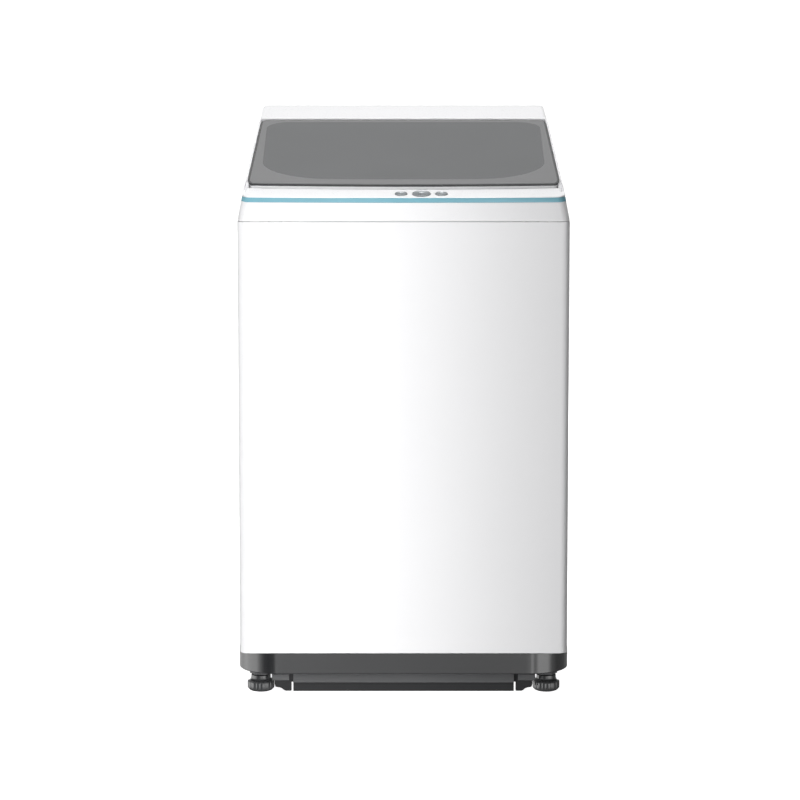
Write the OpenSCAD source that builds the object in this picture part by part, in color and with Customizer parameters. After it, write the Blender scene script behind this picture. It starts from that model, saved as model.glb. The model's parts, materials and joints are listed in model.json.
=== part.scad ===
// Free-standing top load washing machine: cabinet, sloping lid, hanging tub, basket and drive.
// +Z is up, the front faces -Y, the origin is under the middle of the machine on the floor.

/* [Cabinet] */
// Width of the cabinet
body_w = 550; // [540:1:570]
// Depth of the cabinet
body_d = 570; // [560:1:590]
// Radius of the cabinet's upright corners
corner_r = 14; // [10:1:18]
// Sheet thickness of the cabinet
sheet_t = 1.2; // [0.8:0.1:1.6]
// Height of the cabinet's lower edge above the floor
cab_z0 = 72; // [70:1:76]
// Height of the seam between the cabinet and the top cover
cab_z1 = 802; // [800:1:806]

/* [Top] */
// Wall thickness of the moulded top cover
cover_t = 3; // [2.5:0.5:3.5]
// Slope of the lid
lid_slope = 8.4; // [8:0.1:8.8]
// Thickness of the lid glass
glass_t = 4; // [4:0.5:5]
// Depth of the lid's white frame under the glass
frame_depth = 12; // [10:1:13]
// Lowest edge of the light strip
strip_z0 = 834; // [832:1:835]
// Height of the light strip
strip_h = 8; // [6:1:9]

/* [Base] */
// Height of the base tray's lower edge
base_z0 = 37; // [36:1:40]
// Radius of the base tray's corners
base_r = 64; // [60:1:66]
// Radius of a foot
foot_r = 24; // [20:1:25]
// Half the distance between the feet, sideways
foot_x = 241; // [236:1:242]
// Half the distance between the feet, front to back
foot_y = 245; // [240:1:246]

/* [Tub and basket] */
// Outer radius of the tub
tub_r = 252.5; // [250:0.5:253]
// Inner radius of the basket
basket_r = 225; // [220:1:226]
// Sheet thickness of the basket
basket_t = 1.2; // [0.8:0.1:2]
// Radius of the mouth through the balance ring
mouth_r = 200; // [190:1:205]
// Radius of the pulsator
pulsator_r = 165; // [150:1:175]

/* [Hidden] */
$fn = 96;
half_w = body_w / 2;
half_d = body_d / 2;
total_z = 938;

// Lid plane: height of its upper face at the front edge, and the edges' places
lid_y0 = -242;
lid_y1 = 185;
lid_z0 = 859;
lid_half0 = 259.8;
lid_half1 = 248.3;
deck_drop = 20;

// Control band in front of the lid
band_y1 = -243;
band_z0 = 842;
band_slope = 12;
band_t = 6;

// Side draft and front bow of the top cover
draft_a = 10.5;
draft_x = 267;
draft_z = 845;
bow_r = 4300;
bow_a = 11.2;

// Laundry chute through the top cover
chute_w = 390;
chute_d = 350;
chute_r = 120;
chute_y = -20;
chute_z0 = 792;

// Lid hinge
hinge_y = 181;
hinge_drop = 8;
hinge_r = 2.5;
hinge_boss_r = 3.2;
frame_inset = 1.2;
hinge_x0 = 236;
hinge_x1 = 246;
console_y0 = 189.3;
console_z0 = 900;

// Buttons: place across the band and radius
button_y = -264;
power_x = -3;
program_x = 31.2;
start_x = 65;
small_r = 10.4;
large_r = 15.2;
button_gap = 0.4;

// Drawer
drawer_w = 120;
drawer_z0 = 860;
drawer_h = 24;
drawer_y0 = 152;

// Suspension
rod_x = 214;
rod_y = 222;
rod_r = 4;
rod_z0 = 140;
cap_z = 150;
cup_z = 200;
spring_turns = 6;
spring_r = 14;
wire_r = 2.2;

// Tub, bracket and drive
bracket_z = 212;
bracket_t = 10;
tub_z0 = bracket_z + bracket_t;
tub_t = 3;
tub_z1 = 755;
motor_x = 150;
belt_z = 100;
pulley_h = 18;
pulley_r = 72;
motor_pulley_r = 24;
spin_tube_r = 16;
shaft_r = 8;
run_gap = 0.05;
basket_z0 = 262;
basket_z1 = 720;

function lid_z(y) = lid_z0 + (y - lid_y0) * tan(lid_slope);
function deck_under(y) = lid_z(y) - deck_drop - cover_t;
function band_z(y) = band_z0 + (y + half_d) * tan(band_slope);

// Flat rounded rectangle
module rounded(w, d, r) {
    square([w - 2 * r, d], center = true);
    square([w, d - 2 * r], center = true);
    for (sx = [-1, 1], sy = [-1, 1])
        translate([sx * (w / 2 - r), sy * (d / 2 - r)]) circle(r);
}

// Upright block with rounded corners between two heights
module block(w, d, r, z0, z1) {
    translate([0, 0, z0]) linear_extrude(z1 - z0) rounded(w, d, r);
}

// Block from one corner to the opposite one
module span(lo, hi) {
    translate(lo) cube([for (i = [0:2]) hi[i] - lo[i]]);
}

// Outline in the YZ plane, drawn out along X over the given half width
module across(half, outline) {
    rotate([90, 0, 90]) translate([0, 0, -half]) linear_extrude(2 * half) polygon(outline);
}

// Ring or disc about an upright axis
module ring(r_out, r_in, z0, z1) {
    translate([0, 0, z0]) linear_extrude(z1 - z0) difference() {
        circle(r_out);
        circle(r_in);
    }
}

module at_corners(x, y) {
    for (sx = [-1, 1], sy = [-1, 1]) translate([sx * x, sy * y, 0]) children();
}

// Moves its children onto the sloping control band, where +Z is the band's normal
module on_band(x, y) {
    translate([x, y, band_z(y)]) rotate([band_slope, 0, 0]) children();
}

// Moves its children to the lid plane, where +Z is the lid's normal
module on_lid(y) {
    translate([0, y, lid_z(y)]) rotate([lid_slope, 0, 0]) children();
}

// Limits of the top cover's outside, moved inwards by an inset
module cover_limits(inset) {
    intersection() {
        block(body_w - 2 * inset, body_d - 2 * inset, corner_r - inset, cab_z1 - 2, total_z + 2);
        translate([0, inset - half_d, draft_z]) rotate([-bow_a, 0, 0]) translate([0, bow_r, 0])
            cylinder(r = bow_r, h = 500, center = true, $fn = 1440);
        draft_zone(draft_x - inset);
    }
}

// Wedge between the two side planes, with its half width given at the draft height
module draft_zone(half) {
    low = half + 145 * tan(draft_a);
    high = half - 155 * tan(draft_a);
    rotate([90, 0, 0]) translate([0, 0, -400]) linear_extrude(800) polygon([
        [-low, draft_z - 145], [low, draft_z - 145], [high, draft_z + 155], [-high, draft_z + 155]
    ]);
}

// ---- Cabinet ----

module cabinet_wrap() {
    color("white") difference() {
        block(body_w, body_d, corner_r, cab_z0, cab_z1);
        block(body_w - 2 * sheet_t, body_d - 2 * sheet_t, corner_r - sheet_t, cab_z0 - 1, cab_z1 + 1);
        span([-235, half_d - 5, cab_z0 - 1], [235, half_d + 1, cab_z1 + 1]);
    }
}

module rear_panel() {
    y1 = half_d - sheet_t;
    color("gainsboro") difference() {
        union() {
            span([-258, y1 - 1, 96], [258, y1, 800]);
            for (z = [260, 420, 580]) translate([0, y1, z]) rotate([-90, 0, 0])
                linear_extrude(0.8) rounded(380, 40, 18);
        }
        for (z = [690:16:754], x = [-60, 60]) translate([x, y1 - 5, z]) rotate([-90, 0, 0])
            linear_extrude(10) rounded(90, 6, 2.9);
        translate([200, y1 - 5, 135]) rotate([-90, 0, 0]) cylinder(r = 17, h = 10);
        translate([-200, y1 - 5, 160]) rotate([-90, 0, 0]) cylinder(r = 9, h = 10);
    }
}

module rear_panel_screws() {
    color("silver") for (x = [-246, 246], z = [120, 290, 460, 630, 785])
        translate([x, half_d, z]) rotate([-90, 0, 0]) difference() {
            cylinder(r1 = 4.6, r2 = 3.8, h = 2, $fn = 32);
            translate([-0.6, -3, 1]) cube([1.2, 6, 2]);
            translate([-3, -0.6, 1]) cube([6, 1.2, 2]);
        }
}

module base_tray() {
    deck_z = cab_z0 - 5;
    lip_w = body_w - 2 * sheet_t;
    lip_d = body_d - 2 * sheet_t;
    color([0.30, 0.31, 0.32]) difference() {
        union() {
            difference() {
                block(body_w, body_d, base_r, base_z0, cab_z0);
                block(body_w - 10, body_d - 10, base_r - 5, base_z0 - 1, deck_z);
                block(body_w - 90, body_d - 90, 60, base_z0 - 1, cab_z0 + 1);
            }
            difference() {
                block(lip_w, lip_d, base_r - 6, cab_z0, 96);
                block(lip_w - 6, lip_d - 6, base_r - 9, cab_z0 - 1, 97);
            }
            at_corners(foot_x, foot_y) translate([0, 0, base_z0]) cylinder(r = 15, h = deck_z - base_z0);
        }
        at_corners(foot_x, foot_y) translate([0, 0, base_z0 - 1]) cylinder(r = 5.05, h = 60);
    }
}

module front_skirt() {
    top_z = base_z0 - 3.4;
    step_z = 17.6;
    color([0.26, 0.27, 0.28]) difference() {
        union() {
            across(186, [[-268, step_z], [-271, 20], [-266, top_z], [-255, top_z], [-255, step_z]]);
            across(186, [[-263, 3], [-262, 2], [-257, 2], [-255, 3], [-255, step_z], [-263, step_z]]);
            for (side = [0, 1]) mirror([side, 0, 0]) {
                span([185, -263, 3], [216, -255, top_z]);
                span([190, -268, 22], [216, -263, 31]);
            }
            for (x = [-150, 150]) span([x - 12, -255, 20], [x + 12, -250.5, base_z0 + 30]);
        }
        for (sx = [-1, 1]) {
            translate([sx * 212, -240, -5]) rotate([90, 0, 0]) cylinder(r = 13, h = 60);
            translate([sx * 187.5, -260, 0]) cube([3, 30, 2 * step_z], center = true);
        }
    }
}

module bottom_shield() {
    color("silver") difference() {
        block(body_w - 70, body_d - 70, 50, base_z0 + 28.5, base_z0 + 30);
        ring(90, 0, base_z0, base_z0 + 40);
        for (x = [-180:30:180], sy = [-1, 1])
            translate([x, sy * 165, base_z0 + 20]) linear_extrude(10) rounded(8, 90, 3.9);
    }
}

module foot_lock_nuts() {
    nut_h = 8;
    color([0.2, 0.21, 0.22]) for (sx = [-1, 1])
        translate([sx * foot_x, -foot_y, base_z0 - nut_h]) difference() {
            cylinder(r = 19, h = nut_h, $fn = 6);
            translate([0, 0, -1]) cylinder(r = 5.05, h = nut_h + 2);
        }
}

// Foot with its chamfered sole, gripping flats and, when asked, a stud
module foot(stud) {
    color([0.22, 0.23, 0.24]) difference() {
        union() {
            cylinder(r1 = foot_r - 4, r2 = foot_r, h = 4);
            translate([0, 0, 4]) cylinder(r = foot_r, h = 13);
            translate([0, 0, 17]) cylinder(r1 = foot_r, r2 = 15, h = 4);
            if (stud) translate([0, 0, 21]) cylinder(r = 5, h = 38);
            else translate([0, 0, 21]) cylinder(r = 13, h = base_z0 - 21);
        }
        for (a = [0:22.5:337.5])
            rotate(a) translate([foot_r + 0.8, 0, 3]) cylinder(r = 2.2, h = 15, $fn = 24);
    }
}

module foot_front_left() {
    translate([-foot_x, -foot_y, 0]) foot(true);
}

module foot_front_right() {
    translate([foot_x, -foot_y, 0]) foot(true);
}

module rear_feet() {
    for (sx = [-1, 1]) translate([sx * foot_x, foot_y, 0]) foot(false);
}

// ---- Top cover ----

module chute_outline(grow) {
    translate([0, chute_y]) rounded(chute_w + 2 * grow, chute_d + 2 * grow, chute_r + grow);
}

// Everything above the control band and the sunk deck, inside the side rails
module lid_recess() {
    intersection() {
        union() {
            across(half_w, [
                [-300, band_z(-300)], [-215, band_z(-215)], [-215, 1000], [-300, 1000]
            ]);
            intersection() {
                across(half_w, [
                    [-260, lid_z(-260) - deck_drop], [187, lid_z(187) - deck_drop],
                    [187, 1000], [-260, 1000]
                ]);
                translate([0, band_y1 + bow_r, 700]) cylinder(r = bow_r, h = 400, $fn = 1440);
            }
        }
        translate([0, 0, 700]) linear_extrude(400) polygon([
            [-260.9, -300], [260.9, -300], [260.9, -258], [248.9, 190], [-248.9, 190], [-260.9, -258]
        ]);
    }
}

module strip_zone(inset) {
    intersection() {
        cover_limits(inset);
        span([-half_w - 5, -half_d - 5, strip_z0], [half_w + 5, -262, strip_z0 + strip_h]);
    }
}

// Slab let into the control band, from a depth below its face to a height above it
module panel_zone(depth, above) {
    intersection() {
        cover_limits(4);
        span([-258, -half_d, 800], [258, -247, 900]);
        on_band(0, -half_d) translate([-300, -10, -depth]) cube([600, 100, depth + above]);
    }
}

module button_holes(gap, depth) {
    for (b = [[power_x, small_r], [program_x, large_r], [start_x, small_r]])
        on_band(b[0], button_y) translate([0, 0, -depth]) cylinder(r = b[1] + gap, h = depth + 10);
}

module top_cover() {
    front_in = -half_d + cover_t;
    back_in = half_d - cover_t;
    color("white") difference() {
        union() {
            difference() {
                intersection() {
                    cover_limits(0);
                    across(half_w + 5, [
                        [-half_d - 5, cab_z1], [-half_d - 5, band_z(-half_d - 5)], [-262, band_z(-262)],
                        [-247, lid_z(-247)], [187, lid_z(187)], [187, console_z0],
                        [half_d + 5, console_z0], [half_d + 5, cab_z1]
                    ]);
                }
                intersection() {
                    cover_limits(cover_t);
                    across(half_w, [
                        [front_in - 5, cab_z1 - 1], [front_in - 5, band_z(front_in - 5) - band_t],
                        [band_y1 - 3, band_z(band_y1 - 3) - band_t],
                        [band_y1 - 3, deck_under(band_y1 - 3)],
                        [185, deck_under(185)], [back_in + 5, console_z0 - cover_t],
                        [back_in + 5, cab_z1 - 1]
                    ]);
                }
                lid_recess();
            }
            intersection() {
                translate([0, 0, chute_z0]) linear_extrude(120) chute_outline(cover_t);
                across(half_w, [
                    [-260, 780], [-260, lid_z(-260) - deck_drop - 1],
                    [187, lid_z(187) - deck_drop - 1], [187, 780]
                ]);
            }
        }
        translate([0, 0, chute_z0 - 5]) linear_extrude(160) chute_outline(0);
        difference() {
            strip_zone(-2);
            strip_zone(2.5);
        }
        panel_zone(2.5, 5);
        button_holes(2, 12);
        translate([0, 152, drawer_z0 + drawer_h / 2])
            cube([drawer_w + 1.6, 25, drawer_h + 1.6], center = true);
        span([188, -238, 800], [212, -212, 860]);
        translate([150, 250, 850]) rotate([-90, 0, 0]) cylinder(r = 15, h = 60);
    }
}

module control_panel() {
    color("whitesmoke") difference() {
        panel_zone(2.5, 0);
        button_holes(button_gap, 12);
    }
}

module accent_strip() {
    color([0.55, 0.78, 0.86]) difference() {
        strip_zone(0);
        strip_zone(2.5);
    }
}

module control_board() {
    color("darkgreen") on_band(31, button_y) {
        translate([-110, -12, -14]) cube([220, 24, 1.6]);
        for (x = [power_x, program_x, start_x]) translate([x - 34, -3, -12.4]) cube([6, 6, 2.6]);
        for (x = [-100:12:-52]) translate([x, -2, -12.4]) cube([5, 4, 2]);
        for (x = [60:12:96]) translate([x, -2, -12.4]) cube([5, 4, 2]);
        translate([-60, -8, -15.8]) cube([24, 12, 1.8]);
    }
}

module board_housing() {
    color("lightgrey") on_band(31, button_y) difference() {
        translate([-114, -14, -30]) cube([228, 28, 30 - band_t * cos(band_slope)]);
        translate([-111, -12, -28]) cube([222, 24, 30]);
    }
}

module power_button() {
    push_button(power_x, small_r);
}

module program_button() {
    push_button(program_x, large_r);
}

module start_button() {
    push_button(start_x, small_r);
}

// Round cap with a chamfered rim and a stem that reaches the switch
module push_button(x, r) {
    color([0.56, 0.58, 0.59]) on_band(x, button_y) {
        translate([0, 0, -4]) cylinder(r = r, h = 4.4);
        translate([0, 0, 0.4]) cylinder(r1 = r, r2 = r - 0.9, h = 0.8);
        translate([0, 0, -8]) cylinder(r = 3, h = 4);
    }
}

module rear_console() {
    outline = [
        [console_y0, console_z0], [console_y0, lid_z(console_y0) + 0.5], [262, total_z],
        [272, 936.6], [279, 932], [283.5, 925], [half_d, 915], [half_d, console_z0]
    ];
    wall = 2.5;
    inner = [
        [console_y0 + wall, console_z0 - 1], [console_y0 + wall, lid_z(console_y0) - 2],
        [262, total_z - wall], [271, 934], [277, 930], [281, 924], [half_d - wall, 915],
        [half_d - wall, console_z0 - 1]
    ];
    color("white") difference() {
        intersection() {
            cover_limits(0);
            across(half_w, outline);
        }
        intersection() {
            cover_limits(wall);
            across(half_w, inner);
        }
    }
}

module inlet_valve() {
    color("royalblue") translate([150, 0, 850]) {
        rotate([-90, 0, 0]) difference() {
            union() {
                translate([0, 0, 277]) cylinder(r = 13.2, h = 14);
                translate([0, 0, 250]) cylinder(r = 11, h = 27);
                translate([0, 0, 278 - 6]) cylinder(r = 20, h = 5);
            }
            translate([0, 0, 262]) cylinder(r = 8.5, h = 40);
        }
        span([-16, 222, -16], [16, 250, 16]);
        translate([0, 236, -40]) cylinder(r = 13, h = 24);
        translate([-84, 236, 0]) rotate([0, 90, 0]) cylinder(r = 8, h = 68);
    }
}

module detergent_housing() {
    color("whitesmoke") difference() {
        span([-66, 158, 853], [66, 275, 893]);
        span([-61.2, 157, 858.8], [61.2, 271, 885.6]);
        translate([50, 236, 850]) rotate([0, 90, 0]) cylinder(r = 5, h = 40);
    }
}

module detergent_drawer() {
    y1 = drawer_y0 + 110;
    color("white") difference() {
        span([-drawer_w / 2, drawer_y0, drawer_z0], [drawer_w / 2, y1, drawer_z0 + drawer_h]);
        span([-drawer_w / 2 + 2.5, drawer_y0 + 4, drawer_z0 + 2], [8, y1 - 2.5, drawer_z0 + 30]);
        span([10.5, drawer_y0 + 4, drawer_z0 + 2], [drawer_w / 2 - 2.5, y1 - 2.5, drawer_z0 + 30]);
        translate([0, drawer_y0 - 6, drawer_z0 + 6]) rotate([0, 90, 0])
            cylinder(r = 9, h = 44, center = true);
    }
}

// ---- Lid ----

// Outline of the lid, moved inwards by an inset, with its bowed front edge and round front corners
module lid_outline(inset, r) {
    length = lid_y1 - lid_y0;
    sag = bow_r - sqrt(bow_r * bow_r - lid_half0 * lid_half0);
    difference() {
        intersection() {
            polygon([
                [-lid_half0 + inset, -10], [-lid_half1 + inset, length - inset],
                [lid_half1 - inset, length - inset], [lid_half0 - inset, -10]
            ]);
            translate([0, bow_r]) circle(bow_r - inset, $fn = 1440);
        }
        for (side = [0, 1]) mirror([side, 0, 0]) translate([lid_half0 - inset - r, inset + sag])
            difference() {
                translate([0, -5]) square([r + 5, r + 5]);
                translate([0, r]) circle(r);
            }
    }
}

module lid_glass() {
    color([0.42, 0.44, 0.45]) on_lid(lid_y0) translate([0, 0, -glass_t]) linear_extrude(glass_t)
        lid_outline(0, 13);
}

module lid_frame() {
    length = lid_y1 - lid_y0;
    window_v = length / 2 - 4;
    wall = 3;
    color("white") on_lid(lid_y0) {
        difference() {
            translate([0, 0, -glass_t - frame_depth]) linear_extrude(frame_depth) intersection() {
                lid_outline(frame_inset, 12);
                translate([-half_w, -50]) square([body_w, length + 43]);
            }
            translate([0, 0, -glass_t - frame_depth - 1]) linear_extrude(frame_depth + 2)
                translate([0, window_v]) rounded(470, length - 62, 115);
            translate([0, 0, -glass_t - frame_depth - 1]) linear_extrude(frame_depth - 2) difference() {
                intersection() {
                    lid_outline(frame_inset + wall, 12);
                    translate([-half_w, -50]) square([body_w, length + 40]);
                }
                translate([0, window_v]) rounded(470 + 2 * wall, length - 62 + 2 * wall, 115 + wall);
            }
            for (side = [0, 1]) mirror([side, 0, 0])
                translate([hinge_x0 - 2, length - 24, -40]) cube([30, 40, 60]);
        }
        for (side = [0, 1]) mirror([side, 0, 0]) hinge_ear();
    }
}

// Lug behind the lid's frame that holds one hinge pin, in the lid's own plane
module hinge_ear() {
    dy = hinge_y - lid_y0;
    dz = lid_z(hinge_y) - hinge_drop - lid_z0;
    v = dy * cos(lid_slope) + dz * sin(lid_slope);
    w = dz * cos(lid_slope) - dy * sin(lid_slope);
    difference() {
        translate([212, v - 14, w - 4.2]) cube([22, 18.5, -glass_t - w + 4.2]);
        translate([222, v, w]) rotate([0, 90, 0]) cylinder(r = hinge_boss_r, h = 13);
    }
}

module lid_hinge_pins() {
    z = lid_z(hinge_y) - hinge_drop;
    color("silver") for (side = [0, 1]) mirror([side, 0, 0]) {
        translate([222, hinge_y, z]) rotate([0, 90, 0]) cylinder(r = hinge_r, h = 25);
        translate([222, hinge_y, z]) rotate([0, 90, 0]) cylinder(r = hinge_boss_r, h = 12);
    }
}

module hinge_brackets() {
    z = lid_z(hinge_y) - hinge_drop;
    width = hinge_x1 - hinge_x0;
    y0 = hinge_y - 3.6;
    y1 = hinge_y + 3.2;
    color("whitesmoke") for (side = [0, 1]) mirror([side, 0, 0])
        translate([hinge_x0 + width / 2, 0, 0]) difference() {
            union() {
                translate([-width / 2, hinge_y, z]) rotate([0, 90, 0]) cylinder(r = 3.7, h = width);
                across(width / 2, [
                    [y0, lid_z(y0) - deck_drop], [y1, lid_z(y1) - deck_drop], [y1, z], [y0, z]
                ]);
            }
            translate([-width, hinge_y, z]) rotate([0, 90, 0])
                cylinder(r = hinge_r + run_gap, h = 2 * width);
        }
}

module latch_hook() {
    color("lightgrey") on_lid(-225) translate([194, 0, -glass_t - frame_depth - 14]) {
        cube([12, 3, 23]);
        translate([0, 3, 0]) cube([12, 4, 3]);
    }
}

module lid_lock() {
    color("dimgrey") difference() {
        translate([200, 0, 0]) across(16, [
            [-240, 803], [-240, deck_under(-240)], [-208, deck_under(-208)], [-208, 803]
        ]);
        span([188, -238, 806], [212, -212, 860]);
    }
}

module lid_buffers() {
    color("grey") for (x = [-236, 236], y = [-226, 20]) on_lid(y)
        translate([x, 0, -deck_drop * cos(lid_slope)]) cylinder(r = 5, h = 3.4);
}

// ---- Suspension ----

module hanger_plates() {
    color("silver") intersection() {
        block(body_w - 2 * sheet_t, body_d - 2 * sheet_t - 2, corner_r - sheet_t, 783, 786);
        difference() {
            for (sx = [0, 1], sy = [0, 1]) mirror([sx, 0, 0]) mirror([0, sy, 0])
                translate([0, 0, 780]) linear_extrude(10)
                    polygon([[290, 170], [290, 300], [165, 300], [165, 262], [190, 200], [252, 170]]);
            at_corners(rod_x, rod_y) cylinder(r = 8, h = 900);
        }
    }
}

module rod_seats() {
    color("whitesmoke") at_corners(rod_x, rod_y) rotate_extrude() polygon([
        [rod_r + 0.5, 782], [8, 782], [8, 786], [16, 786], [16, 791], [11, 795], [rod_r + 0.5, 795]
    ]);
}

module suspension_rods() {
    color("silver") at_corners(rod_x, rod_y) {
        translate([0, 0, rod_z0]) cylinder(r = rod_r, h = 795 - rod_z0);
        translate([0, 0, 795]) cylinder(r = 9, h = 4);
    }
}

module rod_end_caps() {
    color("dimgrey") at_corners(rod_x, rod_y) ring(20, rod_r, rod_z0, cap_z);
}

module spring_cups() {
    color("dimgrey") at_corners(rod_x, rod_y) {
        ring(20, 6, cup_z, bracket_z);
        ring(9, 6, cup_z - 8, cup_z);
    }
}

// Points of one spring's tube: rings of a round wire along a helix
function helix_ring(k, per_turn, sides, z0, rise) = let (
    a = 360 * k / per_turn,
    z = z0 + rise * k / per_turn
) [for (s = [0:sides - 1]) let (
    b = 360 * s / sides,
    r = spring_r + wire_r * cos(b)
) [r * cos(a), r * sin(a), z + wire_r * sin(b)]];

module spring(z0, z1) {
    per_turn = 14;
    sides = 6;
    rise = (z1 - z0 - 2 * wire_r) / spring_turns;
    count = per_turn * spring_turns;
    points = [for (k = [0:count]) each helix_ring(k, per_turn, sides, z0 + wire_r, rise)];
    walls = [for (k = [0:count - 1], s = [0:sides - 1]) let (
        a = k * sides + s,
        b = k * sides + (s + 1) % sides
    ) [a, a + sides, b + sides, b]];
    ends = [[for (s = [0:sides - 1]) s], [for (s = [sides - 1:-1:0]) count * sides + s]];
    polyhedron(points, concat(walls, ends), convexity = 10);
}

module suspension_springs() {
    color("darkgrey") at_corners(rod_x, rod_y) spring(cap_z, cup_z);
}

// ---- Tub ----

module outer_tub() {
    color("gainsboro") difference() {
        union() {
            ring(tub_r, tub_r - tub_t, tub_z0, tub_z1);
            ring(tub_r, 24, tub_z0, tub_z0 + 4);
            ring(40, 24, tub_z0, tub_z0 + 12);
        }
        translate([-170, 0, tub_z0 - 1]) cylinder(r = 18, h = 20);
    }
}

module tub_cover_ring() {
    color("whitesmoke") rotate_extrude($fn = 180) polygon([
        [mouth_r + 5, 757], [mouth_r + 5, 770], [mouth_r + 8, 772], [tub_r - 4, 764], [tub_r, 760],
        [tub_r, tub_z1], [tub_r - 10, tub_z1], [tub_r - 12, 760], [mouth_r + 9, 767], [mouth_r + 8, 757]
    ]);
}

module tub_bracket() {
    reach = norm([rod_x, rod_y]);
    angle = atan2(rod_y, rod_x);
    color("silver") translate([0, 0, bracket_z]) linear_extrude(bracket_t) difference() {
        union() {
            circle(130);
            for (a = [angle, 180 - angle, 180 + angle, -angle]) rotate(a) {
                translate([0, -22]) square([reach, 44]);
                translate([reach, 0]) circle(22);
            }
            translate([motor_x, 0]) circle(60);
        }
        circle(24);
        for (a = [angle, 180 - angle, 180 + angle, -angle]) rotate(a) {
            translate([reach, 0]) circle(6);
            translate([95, -12]) square([90, 24]);
        }
    }
}

module bracket_bolts() {
    color("silver") for (a = [22.5:90:292.5]) rotate(a) translate([88, 0, bracket_z - 5])
        cylinder(r = 6.5, h = 5, $fn = 6);
}

module gearbox_housing() {
    color([0.62, 0.63, 0.64]) difference() {
        union() {
            translate([0, 0, 124]) cylinder(r = 52, h = 76);
            translate([0, 0, 200]) cylinder(r = 78, h = 12);
            translate([0, 0, 122]) cylinder(r = 24, h = 2);
            for (a = [0:45:315]) rotate(a) span([50, -2, 150], [70, 2, 200]);
        }
        translate([0, 0, 176]) cylinder(r = spin_tube_r + run_gap, h = 40);
        translate([0, 0, 120]) cylinder(r = shaft_r + run_gap, h = 40);
    }
}

module gearbox_pulley() {
    color([0.5, 0.51, 0.52]) rotate_extrude() polygon([
        [0, belt_z - 4], [18, belt_z - 4], [18, belt_z + 3], [pulley_r - 12, belt_z + 3],
        [pulley_r - 12, belt_z], [pulley_r, belt_z], [pulley_r, belt_z + 3], [pulley_r - 6, belt_z + 6],
        [pulley_r - 6, belt_z + 12], [pulley_r, belt_z + 15], [pulley_r, belt_z + pulley_h],
        [pulley_r - 12, belt_z + pulley_h], [pulley_r - 12, belt_z + 9], [18, belt_z + 9],
        [18, belt_z + pulley_h], [shaft_r, belt_z + pulley_h], [shaft_r, 156], [0, 156]
    ]);
}

module motor_stator() {
    color([0.45, 0.46, 0.47]) translate([motor_x, 0, 0]) difference() {
        union() {
            translate([0, 0, 124]) cylinder(r = 46, h = 80);
            translate([0, 0, 140]) cylinder(r = 54, h = 46);
            translate([0, 0, 204]) cylinder(r = 56, h = 8);
        }
        translate([0, 0, 120]) cylinder(r = shaft_r + run_gap, h = 82);
    }
}

module motor_shaft() {
    color("silver") translate([motor_x, 0, belt_z - 4]) cylinder(r = shaft_r, h = 104);
}

module motor_pulley() {
    r = motor_pulley_r;
    color("silver") translate([motor_x, 0, 0]) rotate_extrude() polygon([
        [shaft_r, belt_z], [r, belt_z], [r, belt_z + 3], [r - 6, belt_z + 6], [r - 6, belt_z + 12],
        [r, belt_z + 15], [r, belt_z + pulley_h], [shaft_r, belt_z + pulley_h]
    ]);
}

// Area inside a belt line that runs round both pulleys
module belt_area(grow) {
    hull() {
        circle(pulley_r - 6 + grow);
        translate([motor_x, 0]) circle(motor_pulley_r - 6 + grow);
    }
}

module drive_belt() {
    color([0.15, 0.15, 0.15]) translate([0, 0, belt_z + 6.6]) linear_extrude(4.8) difference() {
        belt_area(5);
        belt_area(0.3);
    }
}

module drain_valve() {
    color("whitesmoke") translate([-170, 0, 0]) difference() {
        union() {
            translate([0, 0, 178]) cylinder(r = 24, h = tub_z0 - 178);
            translate([0, 0, 195]) rotate([0, -90, 0]) cylinder(r = 14, h = 50);
            translate([0, 0, 168]) cylinder(r = 15, h = 10);
        }
        translate([0, 0, 184]) cylinder(r = 18, h = 60);
        translate([-10, 0, 195]) rotate([0, -90, 0]) cylinder(r = 11, h = 50);
    }
}

module drain_motor() {
    color("whitesmoke") {
        span([-30, -176, 176], [30, -134, bracket_z + 10]);
        translate([-52, -160, bracket_z - 6]) cube([22, 10, 6]);
    }
}

module air_chamber() {
    color("whitesmoke") difference() {
        span([-18, 230, 236], [18, 270, 300]);
        cylinder(r = tub_r, h = 400, $fn = 180);
    }
    color("whitesmoke") translate([0, 262, 300]) cylinder(r = 3, h = 12);
}

// ---- Basket and pulsator ----

module basket_shell() {
    color("silver") union() {
        ring(basket_r + basket_t, basket_r, basket_z0 + 8, basket_z1);
        for (z = [380:110:600]) rotate_extrude() polygon([
            [basket_r + 1, z - 6], [basket_r + 4, z - 2], [basket_r + 4, z + 2], [basket_r + 1, z + 6]
        ]);
    }
}

module basket_base() {
    r = basket_r;
    p = pulsator_r;
    z = basket_z0;
    color("whitesmoke") rotate_extrude($fn = 180) polygon([
        [spin_tube_r, z - 8], [60, z - 8], [64, z], [p + 8, z + 8], [p + 11, z + 30], [r - 5, z + 54],
        [r - 3, z + 6], [r, z + 6], [r, z + 60], [r - 3, z + 60], [p + 8, z + 34], [p + 5, z + 12],
        [60, z + 6], [spin_tube_r, z + 6]
    ]);
}

module balance_ring() {
    color("lightsteelblue") rotate_extrude($fn = 180) polygon([
        [mouth_r, 706], [mouth_r + 6, 700], [basket_r, 700], [basket_r, basket_z1],
        [basket_r + basket_t, basket_z1], [basket_r + basket_t, 700], [basket_r + 11, 702],
        [basket_r + 12, 740], [basket_r + 6, 748], [mouth_r + 8, 750], [mouth_r, 742]
    ]);
}

module lint_filters() {
    color("whitesmoke") for (a = [0, 180]) rotate(a) difference() {
        intersection() {
            ring(basket_r, basket_r - 16, 380, 640);
            span([100, -48, 370], [300, 48, 650]);
        }
        for (z = [430:26:610]) translate([0, 0, z]) intersection() {
            ring(basket_r - 4, basket_r - 20, 0, 12);
            span([100, -36, -1], [300, 36, 20]);
        }
    }
}

module spin_tube() {
    color("silver") ring(spin_tube_r, shaft_r + run_gap, 178, basket_z0 + 6);
}

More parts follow.
